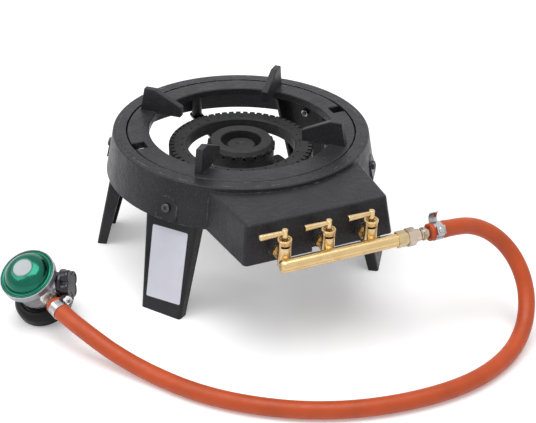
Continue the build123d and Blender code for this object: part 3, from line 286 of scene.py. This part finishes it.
def moulded(name, colour, roughness, grain, sheen=0.5):
    """Moulded plastic or rubber with a fine grain and slightly rubbed edges."""
    look = Finish(name)
    patches = look.noise(70.0)
    tone = look.blend(look.spread(patches, 0, 1), tint(colour, 0.8), tint(colour, 1.25))
    rubbed = look.maths("MULTIPLY", look.edges(0.6 * mm), 0.4)
    look.set("Base Color", look.blend(rubbed, tone, tint(colour, 2.2, lift=0.01)))
    look.set("Roughness", look.spread(look.noise(180.0), roughness - 0.06, roughness + 0.08))
    look.set("Specular IOR Level", sheen)
    look.relief([(patches, 0.1 * mm), (look.noise(grain, detail=2.0), 0.04 * mm)], rounding=0.7 * mm)
    return look.material


def lacquered(name, colour):
    """Lacquer over pressed metal: flakes under a clear coat, faint ripple."""
    look = Finish(name)
    flakes = look.add("ShaderNodeTexVoronoi", {"Vector": look.place, "Scale": 2200.0}).outputs["Color"]
    glint = look.add("ShaderNodeSeparateColor", {"Color": flakes}).outputs["Red"]
    patches = look.noise(60.0)
    tone = look.blend(look.spread(patches, 0, 1), tint(colour, 0.8), tint(colour, 1.2))
    look.set("Base Color", look.blend(look.maths("MULTIPLY", glint, 0.35), tone, tint(colour, 2.4)))
    look.set("Metallic", 0.95)
    look.set("Roughness", look.spread(glint, 0.14, 0.26, start=0.0, end=1.0))
    look.set("Coat Weight", 0.3)
    look.set("Coat Roughness", 0.04)
    look.relief([(look.noise(110.0, detail=2.0), 0.12 * mm), (glint, 0.012 * mm)], rounding=0.5 * mm)
    return look.material


def foil(name, colour, roughness, metallic):
    """Blank plastic or foil, as a disc or sticker: faint fibre, small creases and a yellowed rim."""
    look = Finish(name)
    fibre = look.noise(1300.0, detail=2.0, roughness=0.5, stretch=(1.0, 1.0, 0.15))
    patches = look.noise(45.0, detail=4.0)
    tone = look.blend(look.spread(patches, 0, 1), tint(colour, 0.93), colour)
    tone = look.blend(look.spread(fibre, 0, 0.16), tone, tint(colour, 0.8))
    yellowed = look.maths("MULTIPLY", look.edges(0.6 * mm), 0.35)
    look.set("Base Color", look.blend(yellowed, tone, (0.55, 0.52, 0.46)))
    look.set("Metallic", metallic)
    look.set("Roughness", look.spread(look.noise(260.0), roughness - 0.05, roughness + 0.08))
    look.relief([(look.noise(110.0, detail=2.0), 0.15 * mm), (fibre, 0.01 * mm)])
    return look.material


# Materials

regulator_foot = Vector((-0.23904, -0.04566, 0.01408))
regulator_axis = Vector((-0.37442, -0.27807, 0.88458)).normalized()
regulator_rim_height = 46.2 * mm
down = Vector((0, 0, -1))
slot_shade_height = 134.5 * mm

brass = (0.72, 0.54, 0.29)
brass_tarnish = (0.44, 0.29, 0.12)
turned = (1.0, 1.0, 0.05)
drawn = (0.04, 1.0, 1.0)
# Painted shade: below this height, where the spindles sit in the valves' slots, their colour turns near
# black.
painted_slot_shade = (down, -slot_shade_height, 0.3 * mm, (0.03, 0.024, 0.018))
rim_distance = regulator_foot.dot(regulator_axis) + regulator_rim_height
rim = (regulator_axis, rim_distance, 0.6 * mm, (0.3, 0.31, 0.33))

cast_paint = painted_casting(
    "cast_paint",
    colour=(0.016, 0.016, 0.019),
    worn=(0.4, 0.39, 0.39),
    roughness=0.36,
    grain_depth=0.26 * mm,
    wear=0.9,
    sheen=0.25,
    speckle=0.95,
)
leg_paint = painted_casting(
    "leg_paint",
    colour=(0.016, 0.016, 0.018),
    worn=(0.2, 0.2, 0.2),
    roughness=0.4,
    grain_depth=0.05 * mm,
    wear=0.5,
    sheen=0.25,
)
support_paint = painted_casting(
    "support_paint",
    colour=(0.017, 0.017, 0.019),
    worn=(0.22, 0.21, 0.2),
    roughness=0.42,
    grain_depth=0.2 * mm,
    wear=0.6,
    sheen=0.3,
    speckle=0.85,
)
burner_paint = painted_casting(
    "burner_paint",
    colour=(0.014, 0.014, 0.015),
    worn=(0.16, 0.14, 0.12),
    roughness=0.55,
    grain_depth=0.2 * mm,
    wear=0.6,
    sheen=0.3,
)
tube_brass = metal(
    "tube_brass",
    colour=(0.72, 0.53, 0.27),
    tarnish=(0.46, 0.31, 0.13),
    roughness=0.24,
    stretch=drawn,
    share=0.45,
)
valve_brass = metal("valve_brass", brass, brass_tarnish, roughness=0.23, stretch=turned, share=0.6)
# The spindles carry the painted shade of the valve slot below a height.
spindle_brass = metal("spindle_brass", brass, brass_tarnish, roughness=0.23, stretch=turned, zone=painted_slot_shade)
gland_brass = metal(
    "gland_brass",
    colour=(0.3, 0.21, 0.1),
    tarnish=(0.12, 0.08, 0.04),
    roughness=0.35,
    stretch=turned,
    share=0.7,
)
hex_brass = metal(
    "hex_brass",
    colour=(0.66, 0.52, 0.3),
    tarnish=(0.3, 0.2, 0.09),
    roughness=0.2,
    stretch=drawn,
    share=0.7,
)
nickel = metal(
    "nickel",
    colour=(0.62, 0.52, 0.42),
    tarnish=(0.2, 0.15, 0.1),
    roughness=0.18,
    stretch=(0.05, 1.0, 1.0),
    share=0.85,
)
zinc = metal("zinc", colour=(0.56, 0.56, 0.57), tarnish=(0.16, 0.15, 0.15), roughness=0.15, share=0.9)
black_steel = metal("black_steel", colour=(0.09, 0.09, 0.095), tarnish=(0.03, 0.03, 0.03), roughness=0.34)
die_cast = metal(
    "die_cast",
    colour=(0.86, 0.86, 0.9),
    tarnish=(0.6, 0.6, 0.64),
    roughness=0.2,
    share=0.3,
    metallic=0.6,
    zone=rim,
)
orange_rubber = rubber_hose("orange_rubber", (0.55, 0.076, 0.012), dust=(0.62, 0.36, 0.24))
green_lacquer = lacquered("green_lacquer", (0.003, 0.1, 0.062))
black_plastic = moulded("black_plastic", (0.006, 0.006, 0.009), roughness=0.14, grain=400.0)
black_rubber = moulded("black_rubber", (0.004, 0.004, 0.005), roughness=0.36, grain=1400.0, sheen=0.2)
pale_foil = foil("pale_foil", (0.42, 0.45, 0.47), roughness=0.4, metallic=0.25)
sticker_film = foil("sticker_film", (0.78, 0.8, 0.9), roughness=0.42, metallic=0.0)

burners = ("outer", "middle", "inner")
leg_angles = {"front_left": -54.4, "front_right": 54.4, "back_left": -121.0, "back_right": 121.0}
clamps = ("burner", "regulator")
pieces_with = [
    (cast_paint, ["housing", "drum_rim", "support_ledge"]),
    (leg_paint, [f"leg_{place}" for place in leg_angles]),
    (support_paint, ["pan_support"]),
    (burner_paint, [f"{burner}_burner_{piece}" for burner in burners for piece in ("body", "cap")]),
    (tube_brass, ["manifold_tube"]),
    (valve_brass, [f"{burner}_valve_{piece}" for burner in burners for piece in ("body", "lever")]),
    (valve_brass, ["outlet_lock_nuts", "injectors"]),
    (spindle_brass, [f"{burner}_valve_spindle" for burner in burners]),
    (gland_brass, ["gland_rings"]),
    (hex_brass, ["inlet_hex"]),
    (nickel, ["hose_nipple", "outlet_nipple"]),
    (zinc, [f"{clamp}_clamp_{piece}" for clamp in clamps for piece in ("band", "screw")]),
    (zinc, ["leg_nuts", "carrier_screws", "burner_screws"]),
    (black_steel, ["leg_screws", "front_carrier", "rear_carrier"]),
    (die_cast, ["regulator_body", "regulator_socket"]),
    (orange_rubber, ["hose"]),
    (green_lacquer, ["regulator_cover"]),
    (black_plastic, ["tap_hub", "tap_knob"]),
    (black_rubber, ["regulator_collar", "inlet_seal"]),
    (pale_foil, ["rating_disc"]),
]
finish_of = {name: finish for finish, names in pieces_with for name in names}
for name, obj in nodes.items():
    obj.data.materials.clear()
    obj.data.materials.append(finish_of[name])


# Four-lobed grip of the regulator's tap, on a round skirt that reaches back over the hub

tap_height = 31.0 * mm
skirt_start = 29.6 * mm
skirt_floor = 30.6 * mm
skirt_end = 32.5 * mm
skirt_radius = 15.3 * mm
skirt_bore = 11.9 * mm
skirt_floor_radius = 6.0 * mm
skirt_rounding = 0.4 * mm
grip_bend = 36.0 * mm
grip_end = 40.1 * mm
grip_dish = 0.5 * mm
lobe_reach = 15.9 * mm
flute_reach = 9.2 * mm
lobe_turn = math.radians(71)
lobe_fullness = 0.32
flute_roundness = 0.02
grip_sides = 144
tap_out = Vector((0.8211, -0.5426, 0.1770))
tap_out = (tap_out - regulator_axis * tap_out.dot(regulator_axis)).normalized()
tap_side = regulator_axis.cross(tap_out)
tap_centre = regulator_foot + regulator_axis * tap_height

skirt_profile = [
    (skirt_floor, skirt_floor_radius),
    (skirt_floor, skirt_bore),
    (skirt_start, skirt_bore),
    (skirt_start, skirt_radius - skirt_rounding),
    (skirt_start + 0.3 * mm, skirt_radius),
    (skirt_end - skirt_rounding, skirt_radius),
    (skirt_end, skirt_radius - 0.3 * mm),
]
grip_insets = [
    (skirt_end, 0.0),
    (grip_bend, 0.1 * mm),
    (grip_end - 1.2 * mm, 0.2 * mm),
    (grip_end - 0.4 * mm, 0.5 * mm),
    (grip_end, 1.2 * mm),
    (grip_end, 2.4 * mm),
    (grip_end - grip_dish, 3.0 * mm),
    (grip_end - grip_dish, 5.0 * mm),
]


def lobed_reach(angle):
    """Reach of the grip from its axis: four lobes with rounded flutes between them."""
    fullness = (math.cos(2 * (angle - lobe_turn)) ** 2 + flute_roundness) ** lobe_fullness
    return flute_reach + (lobe_reach - flute_reach) * min(1, fullness)


def tap_grip():
    """Grip and skirt as rings along the tap's axis, closed at both ends."""
    angles = round_angles(grip_sides)
    rings = [(height, [radius] * grip_sides) for height, radius in skirt_profile]
    rings += [(height, [lobed_reach(angle) - inset for angle in angles]) for height, inset in grip_insets]
    vertices = []
    for height, reaches in rings:
        for angle, reach in zip(angles, reaches):
            spoke = tap_side * math.cos(angle) + regulator_axis * math.sin(angle)
            vertices.append(tap_centre + tap_out * height + spoke * reach)
    faces = []
    for i in range(len(rings) - 1):
        faces += band(i * grip_sides, (i + 1) * grip_sides, grip_sides)
    faces.append(tuple(reversed(range(grip_sides))))
    faces.append(tuple(range(len(vertices) - grip_sides, len(vertices))))
    return solid("tap_grip", vertices, faces, black_plastic, "tap_knob", crease=40)


knob = tap_grip()
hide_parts("tap_knob")


# Hose: the route's points are the control points of one smooth line, and the rubber wall follows that line

hose_points = [
    (0.1055, -0.2205, 0.1142),
    (0.1340, -0.2205, 0.1142),
    (0.1618, -0.2150, 0.1066),
    (0.1858, -0.2194, 0.0934),
    (0.2026, -0.2307, 0.0745),
    (0.2092, -0.2473, 0.0530),
    (0.2038, -0.2672, 0.0318),
    (0.1852, -0.2884, 0.0150),
    (0.1534, -0.3095, 0.0086),
    (0.1060, -0.3274, 0.0086),
    (0.0510, -0.3312, 0.0086),
    (-0.0090, -0.3232, 0.0086),
    (-0.0627, -0.3045, 0.0086),
    (-0.1104, -0.2747, 0.0086),
    (-0.1483, -0.2394, 0.0086),
    (-0.1785, -0.1960, 0.0090),
    (-0.2020, -0.1635, 0.0165),
    (-0.2195, -0.1385, 0.0270),
    (-0.2350, -0.1081, 0.0346),
    (-0.24098, -0.08923, 0.0380),
]
hose_radius = 8.5 * mm
hose_bore = 5.1 * mm
hose_sides = 48
route_steps = 14
lip_height = 1.1 * mm
lip_reach = 3.4 * mm
swell_height = 0.45 * mm
swell_place = 16.5 * mm
swell_reach = 4.0 * mm
end_rounding = 0.8 * mm


def smooth_line(points, steps):
    """Points along the smooth line that has these control points."""
    curve = bpy.data.curves.new("route", "CURVE")
    curve.dimensions = "3D"
    spline = curve.splines.new("NURBS")
    spline.points.add(len(points) - 1)
    for point, place in zip(spline.points, points):
        point.co = (*place, 1.0)
    spline.order_u = 3
    spline.use_endpoint_u = True
    curve.resolution_u = steps
    carrier = bpy.data.objects.new("route", curve)
    mesh = bpy.data.meshes.new_from_object(carrier)
    line = [v.co.copy() for v in mesh.vertices]
    bpy.data.meshes.remove(mesh)
    bpy.data.objects.remove(carrier)
    bpy.data.curves.remove(curve)
    return line


def along(line):
    """Distance of each point from the line's start."""
    total = [0.0]
    for here, after in zip(line, line[1:]):
        total.append(total[-1] + (after - here).length)
    return total


def crossings(line):
    """Two directions across the line at each of its points, without twist from point to point."""
    last = len(line) - 1
    ways = [(line[min(i + 1, last)] - line[max(i - 1, 0)]).normalized() for i in range(len(line))]
    side = ways[0].orthogonal().normalized()
    result = []
    for way in ways:
        side = (side - way * side.dot(way)).normalized()
        result.append((side, way.cross(side)))
    return result


def hose_outline(distance, length):
    """Outer radius at a distance along the hose: rounded end, flared lip and a swell behind each clamp."""
    from_end = min(distance, length - distance)
    lip = lip_height * math.exp(-((from_end / lip_reach) ** 4))
    swell = swell_height * math.exp(-(((from_end - swell_place) / swell_reach) ** 2))
    rounding = end_rounding * max(0.0, 1.0 - from_end / end_rounding) ** 2
    return hose_radius + lip + swell - rounding


def hose_tube(line):
    """Tube along a line: its outer wall from end to end and its bore back again."""
    distances = along(line)
    outer = [hose_outline(distance, distances[-1]) for distance in distances]
    rings = list(zip(line, crossings(line), outer))
    rings += [(point, across, hose_bore) for point, across, _ in reversed(rings)]
    vertices = []
    for point, (side, up), radius in rings:
        for angle in round_angles(hose_sides):
            vertices.append(point + (side * math.cos(angle) + up * math.sin(angle)) * radius)
    faces = []
    for i in range(len(rings)):
        faces += band(i * hose_sides, (i + 1) % len(rings) * hose_sides, hose_sides)
    return solid("hose_tube", vertices, faces, orange_rubber, "stand")


route = smooth_line(hose_points, route_steps)
hose = hose_tube(route)
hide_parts("hose")


# Outer faces of the legs


def outward(angle):
    """Level directions out of the drum and across it at an angle from the front, in degrees."""
    turn = math.radians(angle)
    return Vector((math.sin(turn), -math.cos(turn), 0)), Vector((math.cos(turn), math.sin(turn), 0))


leg_points = world_points("leg_front_left")
leg_out, _ = outward(leg_angles["front_left"])
leg_top = max(p.z for p in leg_points)
leg_foot_reach = max(p.dot(leg_out) for p in leg_points if p.z < mm)
leg_top_reach = max(p.dot(leg_out) for p in leg_points if p.z > leg_top - mm)
leg_lean = (leg_foot_reach - leg_top_reach) / leg_top


def on_leg(angle, height):
    """Place at a height on the middle of a leg's outer face, and the directions across and out of it."""
    out, across = outward(angle)
    normal = (out + Vector((0, 0, leg_lean))).normalized()
    place = out * (leg_foot_reach - leg_lean * height) + Vector((0, 0, height))
    return place, across, normal


# Blank sticker on the front left leg, with its corners as (across, height)

sticker_corners = ((-0.0192, 0.0141), (0.0222, 0.0161), (0.0222, 0.0934), (-0.0202, 0.0919))
sticker_rounding = 2.0 * mm
sticker_thickness = 0.22 * mm
corner_steps = 5


def rounded_outline(corners, rounding, steps):
    """Outline through corners that are rounded off with a curve each."""
    outline = []
    for i, corner in enumerate(corners):
        here = Vector(corner)
        before = Vector(corners[i - 1])
        after = Vector(corners[(i + 1) % len(corners)])
        start = here + (before - here).normalized() * rounding
        end = here + (after - here).normalized() * rounding
        for step in range(steps + 1):
            t = step / steps
            outline.append(start * (1 - t) ** 2 + here * 2 * t * (1 - t) + end * t**2)
    return outline


def leg_sticker():
    """Thin plate on the leg's outer face."""
    outline = rounded_outline(sticker_corners, sticker_rounding, corner_steps)
    count = len(outline)
    vertices = []
    for proud in (0.0, sticker_thickness):
        for point in outline:
            place, across, normal = on_leg(leg_angles["front_left"], point.y)
            vertices.append(place + across * point.x + normal * proud)
    faces = [tuple(range(count, 2 * count)), tuple(reversed(range(count)))]
    faces += band(0, count, count)
    return solid("leg_sticker", vertices, faces, sticker_film, "stand", smooth=False)


leg_sticker()


# Leg screws: pan heads with a cross recess

screw_height = 117.0 * mm
screw_room = 30.0 * mm
head_rounding = 1.1 * mm
head_steps = 6
tip_chamfer = 0.4 * mm
recess_depth = 1.5 * mm
recess_half_length = 2.2 * mm
recess_half_width = 0.62 * mm
recess_end_slope = 0.5 * mm
recess_wall_inside = 0.1 * mm
recess_wall_outside = 0.06 * mm
recess_field_radius = 2.6 * mm
recess_rings = 22
recess_twist = 20.0
screw_sides = 96


def recess_share(x, y):
    """Depth of the cross recess at a place on the head, from 0 to 1."""
    share = 0.0
    for along_arm, over_arm in ((abs(x), abs(y)), (abs(y), abs(x))):
        wall_start = recess_half_width - recess_wall_inside
        wall_end = recess_half_width + recess_wall_outside
        inside = fall(over_arm, wall_start, wall_end)
        before_end = fall(along_arm, recess_half_length - recess_end_slope, recess_half_length)
        share = max(share, inside * before_end)
    return share


def screw_rings(own, normal):
    """Rings from the head's middle to the tip as (radius, height), fitted to the solid screw's points."""
    heights = [p.dot(normal) for p in own]
    radii = [(p - normal * height).length for p, height in zip(own, heights)]
    top, tip = max(heights), min(heights)
    head_radius = max(radii)
    head_foot = min(height for height, radius in zip(heights, radii) if radius > head_radius - 0.1 * mm)
    shank_radius = max(radius for height, radius in zip(heights, radii) if height < tip + mm)
    rings = [(i / recess_rings * recess_field_radius, top) for i in range(1, recess_rings + 1)]
    for step in range(head_steps + 1):
        bend = step / head_steps * math.pi / 2
        inward, lower = head_rounding * (1 - math.sin(bend)), head_rounding * (1 - math.cos(bend))
        rings.append((head_radius - inward, top - lower))
    rings.append((head_radius, head_foot))
    rings.append((shank_radius, head_foot))
    rings.append((shank_radius, tip + tip_chamfer))
    rings.append((shank_radius - tip_chamfer, tip))
    return rings


def leg_screw(angle, solid_points, first):
    """Points and faces of the screw of one leg, numbered from the first index on."""
    centre, across, normal = on_leg(angle, screw_height)
    own = [p - centre for p in solid_points if (p - centre).length < screw_room]
    rings = screw_rings(own, normal)
    top = rings[0][1]
    twist = math.radians(recess_twist + angle)
    arm = across * math.cos(twist) + normal.cross(across) * math.sin(twist)
    other_arm = normal.cross(arm)
    points = []
    for radius, height in rings:
        for turn in round_angles(screw_sides):
            x, y = radius * math.cos(turn), radius * math.sin(turn)
            sunk = recess_depth * recess_share(x, y) if height == top else 0.0
            points.append(centre + arm * x + other_arm * y + normal * (height - sunk))
    middle = first + len(points)
    points.append(centre + normal * (top - recess_depth))
    faces = []
    for i in range(len(rings) - 1):
        faces += band(first + (i + 1) * screw_sides, first + i * screw_sides, screw_sides)
    faces += [(middle, first + k, first + (k + 1) % screw_sides) for k in range(screw_sides)]
    faces.append(tuple(reversed(range(middle - screw_sides, middle))))
    return points, faces


def leg_screw_set():
    """The four leg screws as one piece."""
    solid_points = world_points("leg_screws")
    vertices = []
    faces = []
    for angle in leg_angles.values():
        own_points, own_faces = leg_screw(angle, solid_points, len(vertices))
        vertices += own_points
        faces += own_faces
    return solid("leg_screw_set", vertices, faces, black_steel, "stand", crease=35)


screws = leg_screw_set()
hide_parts("leg_screws")


# Floor: a matt pale sheet that keeps the shadow, lifted to white where it is seen directly

floor_half = 12.0
floor_lift = 0.26
white = (1, 1, 1)
floor_look = Finish("floor_look")
floor_look.set("Base Color", (0.96, 0.96, 0.965))
floor_look.set("Roughness", 0.9)
floor_look.set("Specular IOR Level", 0.0)
glow_strength = floor_look.maths("MULTIPLY", floor_look.seen_directly(), floor_lift)
glow = floor_look.add("ShaderNodeEmission", {"Color": white, "Strength": glow_strength})
lifted = floor_look.add("ShaderNodeAddShader", {0: floor_look.shader.outputs[0], 1: glow.outputs[0]})
floor_look.feed(floor_look.tree.nodes["Material Output"].inputs["Surface"], lifted.outputs[0])
floor_mesh = bpy.data.meshes.new("floor")
floor_corners = [(x * floor_half, y * floor_half, 0) for x, y in ((-1, -1), (1, -1), (1, 1), (-1, 1))]
floor_mesh.from_pydata(floor_corners, [], [(0, 1, 2, 3)])
floor_mesh.materials.append(floor_look.material)
collect(bpy.data.objects.new("floor", floor_mesh))


# Lamps and surroundings


def lamp(name, place, target, size, power):
    """Soft rectangular lamp that looks at a target."""
    data = bpy.data.lights.new(name, "AREA")
    data.shape = "RECTANGLE"
    data.size, data.size_y = size
    data.energy = power
    obj = collect(bpy.data.objects.new(name, data))
    obj.location = place
    obj.rotation_mode = "QUATERNION"
    obj.rotation_quaternion = (Vector(target) - Vector(place)).to_track_quat("-Z", "Y")


lamp("key_lamp", place=(-2.2, 0.5, 2.3), target=(0, -0.05, 0.05), size=(2.2, 1.4), power=23.0)
lamp("top_lamp", place=(-0.2, -0.35, 3.0), target=(0, -0.1, 0.0), size=(2.4, 2.0), power=58.0)

room_light = (0.36, 0.36, 0.365)
world = bpy.data.worlds.new("surroundings")
bpy.context.scene.world = world
world.use_nodes = True
sky = Nodes(world.node_tree)
sky.feed(sky.tree.nodes["Background"].inputs["Color"], sky.blend(sky.seen_directly(), room_light, white))
